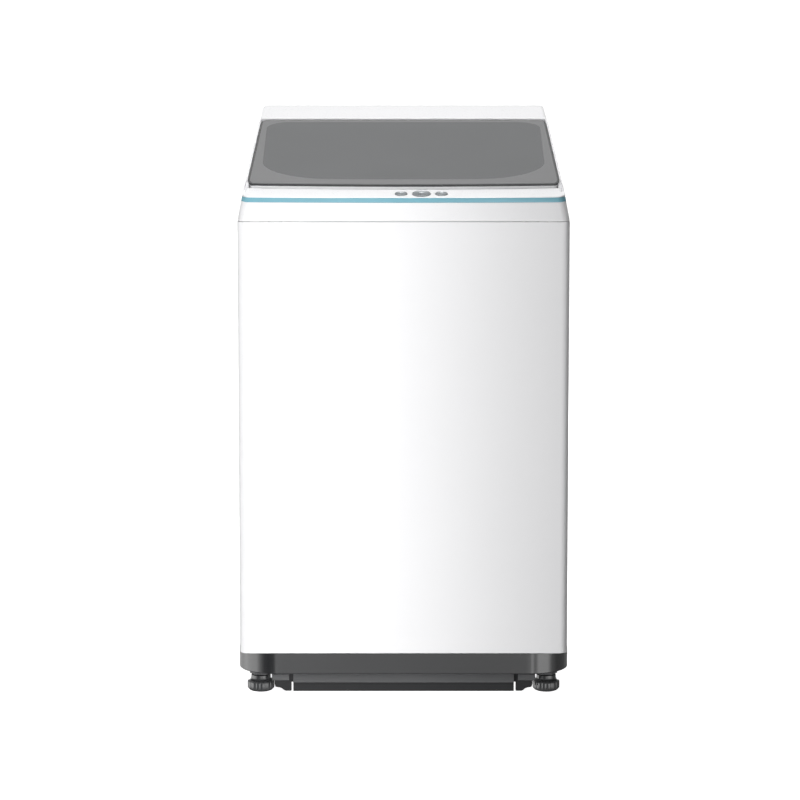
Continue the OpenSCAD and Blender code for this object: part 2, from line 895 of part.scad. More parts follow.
module drive_shaft() {
    color("silver") translate([0, 0, 180]) cylinder(r = shaft_r, h = basket_z0 + 52 - 180);
}

module pulsator() {
    z = basket_z0 + 18;
    color("whitesmoke") union() {
        rotate_extrude($fn = 180) polygon([
            [shaft_r, z], [30, z], [pulsator_r - 2, z + 10], [pulsator_r, z + 14],
            [pulsator_r - 6, z + 16], [60, z + 16], [46, z + 46], [34, z + 52], [20, z + 52],
            [20, z + 34], [shaft_r, z + 34]
        ]);
        for (a = [0:60:300]) rotate(a) across_vane(z + 12);
    }
}

// One wash vane, drawn in the XZ plane and given its thickness
module across_vane(z) {
    translate([0, 6, 0]) rotate([90, 0, 0]) linear_extrude(12)
        polygon([[40, z], [pulsator_r - 8, z], [pulsator_r - 16, z + 14], [90, z + 20], [40, z + 36]]);
}

module pulsator_screw() {
    z = basket_z0 + 52;
    color("silver") {
        translate([0, 0, z]) cylinder(r = 12, h = 5, $fn = 6);
        translate([0, 0, z + 5]) cylinder(r = 19.5, h = 6);
    }
}

// ---- Rear fittings ----

module drain_spigot() {
    color("dimgrey") translate([200, 0, 135]) rotate([-90, 0, 0]) difference() {
        union() {
            translate([0, 0, 262]) cylinder(r = 17, h = 23);
            translate([0, 0, 285]) cylinder(r = 16, h = 7);
            translate([0, 0, 277]) cylinder(r = 24, h = half_d - sheet_t - 1 - 277);
        }
        translate([0, 0, 260]) cylinder(r = 12.5, h = 40);
    }
}

module cord_gland() {
    color([0.2, 0.2, 0.2]) translate([-200, 0, 160]) rotate([-90, 0, 0]) difference() {
        union() {
            translate([0, 0, 274]) cylinder(r = 9, h = 16);
            translate([0, 0, 276]) cylinder(r = 12, h = half_d - sheet_t - 1 - 276);
            translate([0, 0, half_d - sheet_t]) cylinder(r = 12, h = 3);
        }
        translate([0, 0, 270]) cylinder(r = 4.2, h = 40);
    }
}

cabinet_wrap();
rear_panel();
rear_panel_screws();
base_tray();
front_skirt();
bottom_shield();
foot_lock_nuts();
rear_feet();
top_cover();
control_panel();
accent_strip();
control_board();
board_housing();
rear_console();
inlet_valve();
detergent_housing();
hinge_brackets();
lid_buffers();
lid_lock();
hanger_plates();
rod_seats();
suspension_rods();
rod_end_caps();
drain_spigot();
cord_gland();
lid_glass();
lid_frame();
lid_hinge_pins();
latch_hook();
detergent_drawer();
power_button();
program_button();
start_button();
foot_front_left();
foot_front_right();
outer_tub();
tub_cover_ring();
tub_bracket();
bracket_bolts();
suspension_springs();
spring_cups();
gearbox_housing();
motor_stator();
drain_valve();
drain_motor();
air_chamber();
drive_belt();
basket_shell();
basket_base();
balance_ring();
lint_filters();
spin_tube();
pulsator();
pulsator_screw();
drive_shaft();
gearbox_pulley();
motor_shaft();
motor_pulley();
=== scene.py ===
"""Top load washing machine: materials, finer outer pieces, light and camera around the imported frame."""

import json
import math

import bpy
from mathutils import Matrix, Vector


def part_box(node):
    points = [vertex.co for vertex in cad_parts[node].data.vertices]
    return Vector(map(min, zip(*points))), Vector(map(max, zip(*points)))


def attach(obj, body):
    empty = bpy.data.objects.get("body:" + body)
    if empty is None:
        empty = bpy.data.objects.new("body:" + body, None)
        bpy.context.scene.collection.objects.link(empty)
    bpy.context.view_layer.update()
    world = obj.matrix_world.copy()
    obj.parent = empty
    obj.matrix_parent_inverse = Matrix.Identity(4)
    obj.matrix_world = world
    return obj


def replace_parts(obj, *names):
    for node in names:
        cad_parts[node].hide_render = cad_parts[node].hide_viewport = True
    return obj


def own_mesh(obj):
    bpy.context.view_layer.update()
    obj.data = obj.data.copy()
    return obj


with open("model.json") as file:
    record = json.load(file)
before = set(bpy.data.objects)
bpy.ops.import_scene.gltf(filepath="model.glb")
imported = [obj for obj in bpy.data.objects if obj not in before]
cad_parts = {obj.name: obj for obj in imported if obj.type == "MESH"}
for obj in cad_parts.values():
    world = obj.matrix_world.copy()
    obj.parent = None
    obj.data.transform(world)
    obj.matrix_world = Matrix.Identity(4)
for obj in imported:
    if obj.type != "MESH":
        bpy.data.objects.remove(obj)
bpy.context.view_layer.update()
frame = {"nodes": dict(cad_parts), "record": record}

NODES = frame["nodes"]
MM = 0.001


# ---- Materials ----

# Depths of surface relief in metres
FINE_GRAIN = 0.00002
SMOOTH = 0.00001
POLISHED = 0.000004


def new_material(name):
    mat = bpy.data.materials.new(name)
    mat.use_nodes = True
    nodes = mat.node_tree.nodes
    nodes.clear()
    out = nodes.new("ShaderNodeOutputMaterial")
    bsdf = nodes.new("ShaderNodeBsdfPrincipled")
    mat.node_tree.links.new(bsdf.outputs["BSDF"], out.inputs["Surface"])
    return mat, mat.node_tree, bsdf


def noise(tree, scale, detail=3.0, stretch=None):
    """A noise texture in object coordinates, drawn out along an axis when stretch is given."""
    coords = tree.nodes.new("ShaderNodeTexCoord")
    mapping = tree.nodes.new("ShaderNodeMapping")
    tex = tree.nodes.new("ShaderNodeTexNoise")
    tree.links.new(coords.outputs["Object"], mapping.inputs["Vector"])
    tree.links.new(mapping.outputs["Vector"], tex.inputs["Vector"])
    if stretch:
        mapping.inputs["Scale"].default_value = stretch
    tex.inputs["Scale"].default_value = scale
    tex.inputs["Detail"].default_value = detail
    return tex


def spread(tree, source, low, high):
    """Maps a texture's 0.3 to 0.7 onto low to high."""
    node = tree.nodes.new("ShaderNodeMapRange")
    node.inputs["From Min"].default_value = 0.3
    node.inputs["From Max"].default_value = 0.7
    node.inputs["To Min"].default_value = low
    node.inputs["To Max"].default_value = high
    tree.links.new(source, node.inputs["Value"])
    return node.outputs["Result"]


def tint(tree, source, dark, light):
    """Colour between two near tones, driven by a texture."""
    ramp = tree.nodes.new("ShaderNodeValToRGB")
    ramp.color_ramp.elements[0].position = 0.3
    ramp.color_ramp.elements[0].color = (*dark, 1)
    ramp.color_ramp.elements[1].position = 0.7
    ramp.color_ramp.elements[1].color = (*light, 1)
    tree.links.new(source, ramp.inputs["Fac"])
    return ramp.outputs["Color"]


def bump(tree, source, strength, distance):
    node = tree.nodes.new("ShaderNodeBump")
    node.inputs["Strength"].default_value = strength
    node.inputs["Distance"].default_value = distance
    tree.links.new(source, node.inputs["Height"])
    return node.outputs["Normal"]


def finish(name, colour, rough, metallic=0.0, coat=0.0, grain=900.0, depth=FINE_GRAIN, vary=0.04,
           stretch=None, gloss=0.5):
    """A surface with a fine grain in its relief, and slow drifts in its tone and gloss."""
    mat, tree, bsdf = new_material(name)
    fine = noise(tree, grain, 4.0, stretch)
    slow = noise(tree, 6.0, 2.0)
    dark = [c * (1 - vary) for c in colour]
    light = [min(1.0, c * (1 + vary)) for c in colour]
    tree.links.new(tint(tree, slow.outputs["Fac"], dark, light), bsdf.inputs["Base Color"])
    tree.links.new(spread(tree, fine.outputs["Fac"], rough * 0.88, rough * 1.12), bsdf.inputs["Roughness"])
    tree.links.new(bump(tree, fine.outputs["Fac"], 0.35, depth), bsdf.inputs["Normal"])
    bsdf.inputs["Metallic"].default_value = metallic
    bsdf.inputs["Specular IOR Level"].default_value = gloss
    bsdf.inputs["Coat Weight"].default_value = coat
    bsdf.inputs["Coat Roughness"].default_value = 0.08
    return mat


LOOKS = {
    "white_steel": dict(colour=(0.86, 0.86, 0.87), rough=0.32, coat=0.5, grain=260, depth=SMOOTH, vary=0.004),
    "white_plastic": dict(
        colour=(0.87, 0.87, 0.88), rough=0.30, coat=0.2, grain=700, depth=SMOOTH, vary=0.006
    ),
    "zinc_steel": dict(colour=(0.62, 0.63, 0.64), rough=0.36, metallic=1.0, grain=120, vary=0.10),
    "stainless": dict(
        colour=(0.70, 0.71, 0.72), rough=0.24, metallic=1.0, grain=60, depth=SMOOTH, vary=0.03,
        stretch=(1, 1, 22)
    ),
    "dark_plastic": dict(
        colour=(0.022, 0.0225, 0.024), rough=0.13, coat=0.5, grain=1300, depth=SMOOTH, vary=0.05, gloss=1.0
    ),
    # Painted light: the skirt flange's and ledges' colour is raised well above the dark plastic's, standing
    # in for the light their upward faces catch.
    "skirt_painted_lit_plastic": dict(colour=(0.115, 0.117, 0.120), rough=0.35, grain=1300, depth=SMOOTH, vary=0.05),
    "skirt_dark": dict(
        colour=(0.030, 0.0305, 0.032), rough=0.55, grain=1300, depth=SMOOTH, vary=0.05, gloss=0.2
    ),
    "dark_zinc": dict(colour=(0.10, 0.10, 0.105), rough=0.40, metallic=0.3, grain=160, vary=0.12),
    "foot_plastic": dict(colour=(0.040, 0.041, 0.043), rough=0.20, coat=0.5, grain=700, vary=0.08, gloss=1.0),
    "black_rubber": dict(colour=(0.045, 0.046, 0.048), rough=0.55, grain=700, depth=0.00006, vary=0.12),
    "grey_plastic": dict(colour=(0.26, 0.27, 0.28), rough=0.45, grain=1100, vary=0.06),
    "button_grey": dict(
        colour=(0.24, 0.26, 0.27), rough=0.28, metallic=0.35, coat=0.4, grain=1500, vary=0.05
    ),
    "strip_blue": dict(colour=(0.19, 0.43, 0.52), rough=0.18, coat=0.6, grain=400, depth=SMOOTH, vary=0.08),
    "smoked_glass": dict(colour=(0.10, 0.104, 0.107), rough=0.10, grain=90, depth=POLISHED, vary=0.05),
    "lid_margin": dict(colour=(0.175, 0.177, 0.180), rough=0.12, grain=90, depth=POLISHED, vary=0.03),
    "lid_edge": dict(colour=(0.05, 0.052, 0.054), rough=0.16, grain=90, depth=POLISHED, vary=0.03),
    "tub_plastic": dict(colour=(0.66, 0.67, 0.66), rough=0.50, grain=800, vary=0.05),
    "ring_plastic": dict(colour=(0.56, 0.64, 0.70), rough=0.34, grain=600, vary=0.04),
    "cast_alloy": dict(
        colour=(0.46, 0.47, 0.48), rough=0.50, metallic=0.85, grain=300, depth=0.0001, vary=0.12
    ),
    "board_green": dict(colour=(0.03, 0.16, 0.08), rough=0.40, coat=0.3, grain=500, vary=0.2),
    "valve_plastic": dict(colour=(0.04, 0.12, 0.38), rough=0.35, grain=900, vary=0.06),
}
MATERIALS = {name: finish(name, **look) for name, look in LOOKS.items()}
SLOT_OF = {part["node"]: part["material_slot"] for part in frame["record"]["subparts"]}


def paint(obj, look):
    obj.data.materials.clear()
    obj.data.materials.append(MATERIALS[look])


def shade_smooth(obj):
    for poly in obj.data.polygons:
        poly.use_smooth = True


def soften(obj, width=0.0006, segments=2):
    """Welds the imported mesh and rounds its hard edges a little."""
    weld = obj.modifiers.new("weld", "WELD")
    weld.merge_threshold = 0.00002
    bevel = obj.modifiers.new("bevel", "BEVEL")
    bevel.width = width
    bevel.segments = segments
    bevel.limit_method = "ANGLE"
    bevel.angle_limit = math.radians(28)
    bevel.use_clamp_overlap = True
    bevel.harden_normals = False
    normals = obj.modifiers.new("normals", "WEIGHTED_NORMAL")
    normals.keep_sharp = False
    normals.weight = 80
    shade_smooth(obj)


for node_name, obj in NODES.items():
    paint(obj, SLOT_OF[node_name])
    soften(obj)


# ---- Mesh building ----


def build(name, verts, faces, slot_name, body, smooth=True):
    """A new piece from points in the row frame, in metres, that rides on a body."""
    mesh = bpy.data.meshes.new(name)
    mesh.from_pydata([tuple(v) for v in verts], [], faces)
    mesh.update()
    for poly in mesh.polygons:
        poly.use_smooth = smooth
    obj = bpy.data.objects.new(name, mesh)
    bpy.context.scene.collection.objects.link(obj)
    paint(obj, slot_name)
    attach(obj, body)
    return obj


def strip_faces(rows, cols, closed_cols=True, closed_rows=False):
    """Quads over a rows x cols lattice of points."""
    faces = []
    for i in range(rows if closed_rows else rows - 1):
        for j in range(cols if closed_cols else cols - 1):
            a = i * cols + j
            b = i * cols + (j + 1) % cols
            below = ((i + 1) % rows) * cols
            faces.append((a, b, below + (j + 1) % cols, below + j))
    return faces


def prism_faces(count, flipped=False):
    """Faces of a solid between two outlines of as many points: both ends, then the sides."""
    faces = [tuple(range(count)), tuple(range(2 * count - 1, count - 1, -1))]
    faces += [(k, k + count, (k + 1) % count + count, (k + 1) % count) for k in range(count)]
    return [face[::-1] for face in faces] if flipped else faces


def full_turn(steps):
    """Angles spread evenly round a circle."""
    return [2 * math.pi * k / steps for k in range(steps)]


def smoothstep(low, high, value):
    t = min(1.0, max(0.0, (value - low) / (high - low)))
    return t * t * (3 - 2 * t)


# ---- Basket ----


def basket_wall():
    """The basket's sheet wall with its rows of small holes and its shallow upright ribs."""
    low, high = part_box("basket_shell")
    radius = high.x - 3.4 * MM
    columns, rows = 84, 26
    hole = 1.9 * MM
    margin = 14 * MM
    pitch_z = (high.z - low.z - 2 * margin) / rows
    pitch_a = 2 * math.pi / columns

    def place(angle, z):
        fade = smoothstep(low.z + 30 * MM, low.z + 70 * MM, z)
        fade *= 1 - smoothstep(high.z - 90 * MM, high.z - 50 * MM, z)
        wave = math.cos(angle * columns / 3)
        r = radius + fade * 1.3 * MM * wave
        return (r * math.cos(angle), r * math.sin(angle), z)

    def shift(row):
        """How far a row of holes is turned: half a step on every other row."""
        phase = row % 2
        return 0.5 * pitch_a * (phase if phase <= 1 else 2 - phase)

    verts, index, faces = [], {}, []

    def lattice(i, j):
        """Lattice point at half steps: i around, j up."""
        key = (i % (2 * columns), j)
        if key not in index:
            angle = (key[0] / 2) * pitch_a + shift((j - 1) / 2)
            index[key] = len(verts)
            verts.append(place(angle, low.z + margin + j / 2 * pitch_z))
        return index[key]

    ring_steps = [(0, 0), (1, 0), (2, 0), (2, 1), (2, 2), (1, 2), (0, 2), (0, 1)]
    for row in range(rows):
        for column in range(columns):
            centre_a = (column + 0.5) * pitch_a + shift(row)
            centre_z = low.z + margin + (row + 0.5) * pitch_z
            inner = []
            for k in range(8):
                turn = math.radians(225 + 45 * k)
                inner.append(len(verts))
                angle = centre_a + hole * math.cos(turn) / radius
                verts.append(place(angle, centre_z + hole * math.sin(turn)))
            outer = [lattice(2 * column + dx, 2 * row + dz) for dx, dz in ring_steps]
            for k in range(8):
                nxt = (k + 1) % 8
                faces.append((outer[k], outer[nxt], inner[nxt], inner[k]))
    for edge_row, edge_z in ((0, low.z), (2 * rows, high.z)):
        edge = []
        for i in range(2 * columns):
            x, y, _ = verts[lattice(i, edge_row)]
            edge.append(len(verts))
            verts.append((x, y, edge_z))
        for i in range(2 * columns):
            nxt = (i + 1) % (2 * columns)
            quad = (lattice(i, edge_row), edge[i], edge[nxt], lattice(i + 1, edge_row))
            faces.append(quad if edge_row == 0 else quad[::-1])
    wall = build("basket_wall", verts, faces, "stainless", "basket")
    thick = wall.modifiers.new("sheet", "SOLIDIFY")
    thick.thickness = 0.8 * MM
    thick.offset = 0.0
    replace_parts(wall, "basket_shell")


def pulsator_plate():
    """The wash plate: a shallow dish with six curved vanes and a raised hub."""
    low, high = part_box("pulsator")
    radius = high.x
    around, out = 240, 64
    inner = 19.6 * MM
    verts = []

    def vane(r, angle, start, twist, width, top):
        turn = (angle - start - twist * (r / radius) ** 1.4 + math.pi) % (2 * math.pi) - math.pi
        side = turn * r
        lift = smoothstep(0.2, 0.42, r / radius) * (1 - smoothstep(0.80, 0.97, r / radius))
        return top * lift * math.exp(-((side / width) ** 2))

    for i in range(out + 1):
        r = inner + (radius - inner) * i / out
        for angle in full_turn(around):
            dish = low.z + 13 * MM + 2.5 * MM * math.cos(r / radius * math.pi)
            hub = 37 * MM * (1 - smoothstep(0.13, 0.38, r / radius))
            big = max(vane(r, angle, math.radians(120 * n), 0.5, 13 * MM, 20 * MM) for n in range(3))
            small = max(vane(r, angle, math.radians(60 + 120 * n), 0.5, 9 * MM, 11 * MM) for n in range(3))
            ripple = 0.5 * MM * math.cos(r / radius * 60) * smoothstep(0.45, 0.6, r / radius)
            z = max(dish + ripple * (1 - min(1.0, (big + small) / (4 * MM))) + big + small, dish + hub)
            verts.append((r * math.cos(angle), r * math.sin(angle), min(z, high.z)))
    rim_low, rim_edge = low.z + 9 * MM, low.z + 6 * MM
    for r, z in ((radius, rim_low), (radius - 3 * MM, rim_edge), (30 * MM, low.z), (inner, low.z)):
        verts += [(r * math.cos(angle), r * math.sin(angle), z) for angle in full_turn(around)]
    faces = strip_faces(out + 5, around, True, True)
    plate = build("pulsator_plate", verts, faces, "white_plastic", "agitator")
    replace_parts(plate, "pulsator")


# ---- Shape of the top ----

FRONT_Y = -285.0
BACK_Y = 285.0
HALF_W = 275.0
BOW_R = 4300.0
SEAM_Z = 802.0
SEAM_GAP = 0.7
STRIP_LOW = 834.0
STRIP_HIGH = 842.0
STRIP_END_Y = -262.0
CONSOLE_Z = 900.0
DECK_BACK_Y = 187.0
DECK_DROP = 20.0
PANEL_T = 2.6
BAND_TILT = math.radians(12)
SIDE_LEAN = math.radians(10.5)
COVER_CORNER = 14
FOUR_CORNERS = [(-1, -1), (-1, 1), (1, -1), (1, 1)]
FOOT_X = 241
FOOT_Y = 245
ROD_X = 214
ROD_Y = 222
LID_TILT = math.radians(8.4)
LID_FRONT_Y = -242
LID_FRONT_Z = 859
LID_LENGTH = 427.0
LID_HALF = 259.8
LID_BACK_HALF = 248.3
LID_CORNER = 7
LID_CORNER_LONG = 33
EDGE_STEPS = 48
ARC_STEPS = 8
LID_ARC_STEPS = 14
SIDE_YS = [
    -262, -259, -256, -253, -250, -247, -243, -230, -200, -160, -120, -80, -40, 0, 40, 80, 120, 150, 175,
    186, 188, 200, 235
]
LID_STEPS = [y - LID_FRONT_Y for y in SIDE_YS]


def lid_z(y):
    """Height of the lid's face at a depth."""
    return LID_FRONT_Z + (y - LID_FRONT_Y) * math.tan(LID_TILT)


def band_z(y):
    """Height of the control band's face at a depth."""
    return STRIP_HIGH + (y - FRONT_Y) * math.tan(BAND_TILT)


def lid_half(y):
    """Half width of the lid glass at a depth."""
    return LID_HALF - (y - LID_FRONT_Y) * (LID_HALF - LID_BACK_HALF) / LID_LENGTH


def side_half(z):
    """Half width of the top cover at a height: its sides lean in above the seam."""
    return HALF_W - (z - SEAM_Z) * math.tan(SIDE_LEAN)


def bow(x):
    """How far the bowed front stands back at a place across it."""
    return x * x / (2 * BOW_R)


def rounded_loop(
    half, front, back, radius, side_ys=SIDE_YS, arc_steps=ARC_STEPS, long=None, back_radius=None
):
    """Points round a rectangle with round corners, anticlockwise from the front left.

    long is how far the front corners run back when it isn't their radius; back_radius is the back corners'.
    """
    long = long or radius
    rear = back_radius or radius
    spans = [2 * k / EDGE_STEPS - 1 for k in range(EDGE_STEPS + 1)]
    low, high = front + long, back - rear
    right = [(half, min(max(y, low), high) + 0.02 * (k + 1)) for k, y in enumerate(side_ys)]

    def arc(cx, cy, wide, deep, start):
        points = []
        for k in range(1, arc_steps):
            angle = math.radians(start + 90 * k / arc_steps)
            points.append((cx + wide * math.cos(angle), cy + deep * math.sin(angle)))
        return points

    side = [(half, low)] + right + [(half, high + 0.02 * (len(side_ys) + 1))]
    loop = [(t * (half - radius), front) for t in spans] + arc(half - radius, low, radius, long, 270) + side
    loop += arc(half - rear, high, rear, rear, 0) + [(-t * (half - rear), back) for t in spans]
    loop += arc(rear - half, high, rear, rear, 90) + [(-x, y) for x, y in reversed(side)]
    return loop + arc(radius - half, low, radius, long, 180)


def front_bend(x, y):
    """How far the bow sets a point back; it dies out along the sides."""
    return bow(x) * (1 - smoothstep(-262, -200, y))


def cover_point(x, y, z, inset=0.0):
    """Moves a point of the cabinet's outline onto the cover's leaning, bowed outside at a height."""
    width = side_half(z) - inset
    x = x * width / (HALF_W - inset)
    return (x, y + front_bend(x, y) * smoothstep(SEAM_Z, STRIP_HIGH, z), z)


def cover_top(x, y):
    """Height of the cover's rim, before the control panel and the console are put on."""
    bent = y + front_bend(x, y)
    if y < STRIP_END_Y - 1:
        return band_z(y) - PANEL_T
    if y > DECK_BACK_Y:
        return CONSOLE_Z
    low, high = band_z(STRIP_END_Y) + 0.2, lid_z(bent)
    return low + (high - low) * smoothstep(STRIP_END_Y, -246, y)


def cover_loop(share, inset, drop=0.0, pull=0.0):
    """One ring of the cover's outside, at a share of the height to the rim; pull sets its front part back."""
    points = []
    corner = COVER_CORNER - min(inset, 8)
    for x, y in rounded_loop(HALF_W - inset, FRONT_Y + inset, BACK_Y - inset, corner):
        z = SEAM_Z + share * (cover_top(x, y) - SEAM_Z) - drop
        x, y_bent, z = cover_point(x, y, z, inset)
        if y < STRIP_END_Y - 1:
            x *= 1 - pull / 268
            y_bent += pull
        points.append((x, y_bent, z))
    return points


def front_part(loop):
    """The part of an outline that runs from the left side round the front to the right side."""
    inside = [k for k, point in enumerate(loop) if point[1] > STRIP_END_Y + 0.5]
    return loop[inside[-1] + 1:] + loop[:inside[0]]


def pocket_loop(grow, drop, floor=False):
    """One ring of the sunk deck's edge; floor puts it at the deck's level."""
    points = []
    half = 260 + grow
    corners = dict(long=LID_CORNER_LONG, back_radius=6)
    for x, y in rounded_loop(half, -243 - grow, DECK_BACK_Y + grow, LID_CORNER, **corners):
        x = x * (lid_half(y) + 0.7 + grow) / half
        bend = bow(x) * (1 - smoothstep(-235, -150, y))
        deck = lid_z(y + bend) - DECK_DROP
        if floor or y > DECK_BACK_Y - 2:
            z = deck
        elif y <= -240:
            z = band_z(y + bend) - PANEL_T
        else:
            z = lid_z(y + bend)
        points.append((x, y + bend, z - drop))
    return points


def chute_loop(grow, z=None, drop=0.0):
    """One ring of the laundry chute, at a height or else at the deck's level."""
    points = []
    for x, y in rounded_loop(195 + grow, -195 - grow, 155 + grow, 120 + grow):
        points.append((x, y, z if z is not None else lid_z(y) - DECK_DROP - drop))
    return points


def scaled(points):
    return [(x * MM, y * MM, z * MM) for x, y, z in points]


def lofted(name, loops, slot_name, body, closed=True):
    """A skin through rings of equally many points; closed also joins the last ring to the first."""
    verts = [point for loop in loops for point in scaled(loop)]
    return build(name, verts, strip_faces(len(loops), len(loops[0]), True, closed), slot_name, body)


def carve(obj, cutters):
    """Takes solid boxes or cylinders out of a piece for good, and removes them."""
    for cutter in cutters:
        cut = obj.modifiers.new("cut", "BOOLEAN")
        cut.object = cutter
        cut.solver = "EXACT"
        cut.operation = "DIFFERENCE"
    graph = bpy.context.evaluated_depsgraph_get()
    mesh = bpy.data.meshes.new_from_object(obj.evaluated_get(graph))
    obj.modifiers.clear()
    obj.data = mesh
    for cutter in cutters:
        bpy.data.objects.remove(cutter)


def box_cutter(low, high):
    size = [(b - a) * MM for a, b in zip(low, high)]
    centre = [(a + b) / 2 * MM for a, b in zip(low, high)]
    bpy.ops.mesh.primitive_cube_add(size=1, location=centre)
    cutter = bpy.context.active_object
    cutter.scale = size
    return cutter


def peg_cutter(radius, depth, place, turn):
    bpy.ops.mesh.primitive_cylinder_add(
        radius=radius * MM, depth=depth * MM, location=[c * MM for c in place], rotation=turn, vertices=96
    )
    return bpy.context.active_object


def even_normals(obj, angle=35):
    """Smooth shading that keeps real edges crisp."""
    edge = obj.modifiers.new("edges", "EDGE_SPLIT")
    edge.split_angle = math.radians(angle)
    normals = obj.modifiers.new("normals", "WEIGHTED_NORMAL")
    normals.weight = 60


def top_cover_skin():
    """The moulded top: leaning sides, bowed front, rails beside the lid, sunk deck and laundry chute."""
    deck_t = 3.0
    wall = STRIP_HIGH - PANEL_T - SEAM_Z
    loops = [cover_loop(0, 3.0, -SEAM_GAP), cover_loop(0, 1.0, -SEAM_GAP)]
    loops += [cover_loop(0, 0.3, -SEAM_GAP - 1.0), cover_loop(0, 0, -SEAM_GAP - 1.8)]
    loops += [cover_loop((z - SEAM_Z) / wall, 0) for z in (806, 812, 818, 824, 830, 833.9)]
    loops += [cover_loop((STRIP_LOW - SEAM_Z) / wall, 0, pull=PANEL_T), cover_loop(1, 0, 1.4, PANEL_T)]
    loops += [cover_loop(1, 0.4, 0.4, PANEL_T), cover_loop(1, 1.4, 0, PANEL_T)]
    loops += [pocket_loop(1.2, 0), pocket_loop(0.3, 0.3), pocket_loop(0, 1.2)]
    loops += [pocket_loop(0, -3, True), pocket_loop(-0.9, -0.9, True), pocket_loop(-3, 0, True)]
    loops += [chute_loop(6), chute_loop(3, drop=0.4), chute_loop(0.9, drop=2.2), chute_loop(0, drop=5)]
    loops += [chute_loop(0, 795), chute_loop(0.8, 792), chute_loop(2.2, 792), chute_loop(3, 794)]
    loops += [chute_loop(3, drop=deck_t), pocket_loop(-2, deck_t, True)]
    inner = cover_loop(0.55, deck_t)
    loops += [inner, cover_loop(0, deck_t, -SEAM_GAP)]
    cover = lofted("top_cover_skin", loops, "white_plastic", "cabinet")
    carve(cover, [
        box_cutter((-60.8, 139, 859.2), (60.8, 166, 884.8)),
        box_cutter((188, -236.5, 800), (212, -212, 860)),
        peg_cutter(15, 60, (150, 280, 850), (math.radians(90), 0, 0)),
    ])
    paint(cover, "white_plastic")
    shade_smooth(cover)
    even_normals(cover)
    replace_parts(cover, "top_cover")


BUTTONS = {"power": (-4.2, 10.4), "program": (29.4, 15.2), "start": (62.6, 10.4)}
BUTTON_Y = -264.0


def prism(name, outline, top, thickness, slot_name, body):
    """An upright plate: an XY outline whose top follows a height function."""
    upper = [(x, y, top(y)) for x, y in outline]
    lower = [(x, y, z - thickness) for x, y, z in upper]
    return build(name, scaled(upper + lower), prism_faces(len(outline)), slot_name, body, smooth=False)


def panel_outline():
    """The control panel: the cover's bowed front edge with its round corners, back to the deck's edge."""
    edge = front_part(rounded_loop(HALF_W, FRONT_Y, BACK_Y, COVER_CORNER))
    front = [cover_point(x, y + 0.1, STRIP_HIGH)[:2] for x, y in edge]
    end_x, end_y = front[-1]
    inner_x = lid_half(-250) + 0.4
    back = []
    for k in range(EDGE_STEPS + 1):
        x = inner_x * (1 - 2 * k / EDGE_STEPS)
        back.append((x, -243.3 + bow(x)))
    return front + [(inner_x, end_y)] + back + [(-inner_x, end_y)]


def control_plate():
    """The white control band with its three round holes."""
    plate = prism("control_plate", panel_outline(), band_z, 2.2, "white_plastic", "cabinet")
    height = band_z(BUTTON_Y)
    tilt = (BAND_TILT, 0, 0)
    carve(plate, [peg_cutter(r + 0.5, 12, (x, BUTTON_Y, height), tilt) for x, r in BUTTONS.values()])
    paint(plate, "white_plastic")
    bevel = plate.modifiers.new("bevel", "BEVEL")
    bevel.width = 0.7 * MM
    bevel.segments = 3
    bevel.limit_method = "ANGLE"
    bevel.angle_limit = math.radians(50)
    shade_smooth(plate)
    even_normals(plate, 60)
    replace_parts(plate, "control_panel")


def button_cap(name, x, radius, body):
    """A round cap with a rolled rim and a shallow dish, standing a little proud of the band."""
    outline = [
        (0.01, -4.4), (radius - 0.3, -4.4), (radius, -4.1), (radius, 0.2), (radius - 0.25, 0.8),
        (radius - 0.9, 1.15), (radius - 1.7, 1.1), (radius - 2.6, 0.6), (radius * 0.6, 0.35), (0.01, 0.25)
    ]
    steps = 72
    verts = []
    for r, h in outline:
        for angle in full_turn(steps):
            px, py = r * math.cos(angle), r * math.sin(angle)
            y = BUTTON_Y + py * math.cos(BAND_TILT) - h * math.sin(BAND_TILT)
            z = band_z(BUTTON_Y) + py * math.sin(BAND_TILT) + h * math.cos(BAND_TILT)
            verts.append((x + px, y, z))
    faces = strip_faces(len(outline), steps, True, True)
    cap = build(name, scaled(verts), faces, "button_grey", body)
    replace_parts(cap, body.replace("_key", "_button"))


def light_strip():
    """The pale blue strip set into the front between the cover's wall and the control band."""
    profile = [(0.0, 0.25), (0.5, 0.05), (1.2, -0.25), (4.0, -0.35), (6.8, -0.25), (7.5, 0.05), (7.9, 0.25),
               (7.9, 2.3), (0.0, 2.3)]
    rows = []
    for rise, inset in profile:
        z = STRIP_LOW + 0.05 + rise
        row = []
        for x, y in front_part(rounded_loop(HALF_W, FRONT_Y, BACK_Y, COVER_CORNER)):
            px, py, _ = cover_point(x, y, z)
            side = smoothstep(FRONT_Y + 2, FRONT_Y + 14, y) * math.copysign(1, px)
            row.append((px - inset * side, py + inset * (1 - abs(side)), z))
        rows.append(row)
    columns = len(rows[0])
    verts = [point for row in rows for point in scaled(row)]
    faces = []
    for i in range(len(rows)):
        below = ((i + 1) % len(rows)) * columns
        for j in range(columns - 1):
            faces.append((i * columns + j, i * columns + j + 1, below + j + 1, below + j))
    faces.append(tuple(i * columns for i in range(len(rows))))
    faces.append(tuple(i * columns + columns - 1 for i in reversed(range(len(rows)))))
    strip = build("light_strip", verts, faces, "strip_blue", "cabinet")
    even_normals(strip, 50)
    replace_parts(strip, "accent_strip")


# ---- Lid ----


def lid_point(u, v, w):
    """From the lid's own plane (across, up the slope, out of its face) to the machine."""
    y = LID_FRONT_Y + v * math.cos(LID_TILT) - w * math.sin(LID_TILT)
    return (u, y, LID_FRONT_Z + v * math.sin(LID_TILT) + w * math.cos(LID_TILT))


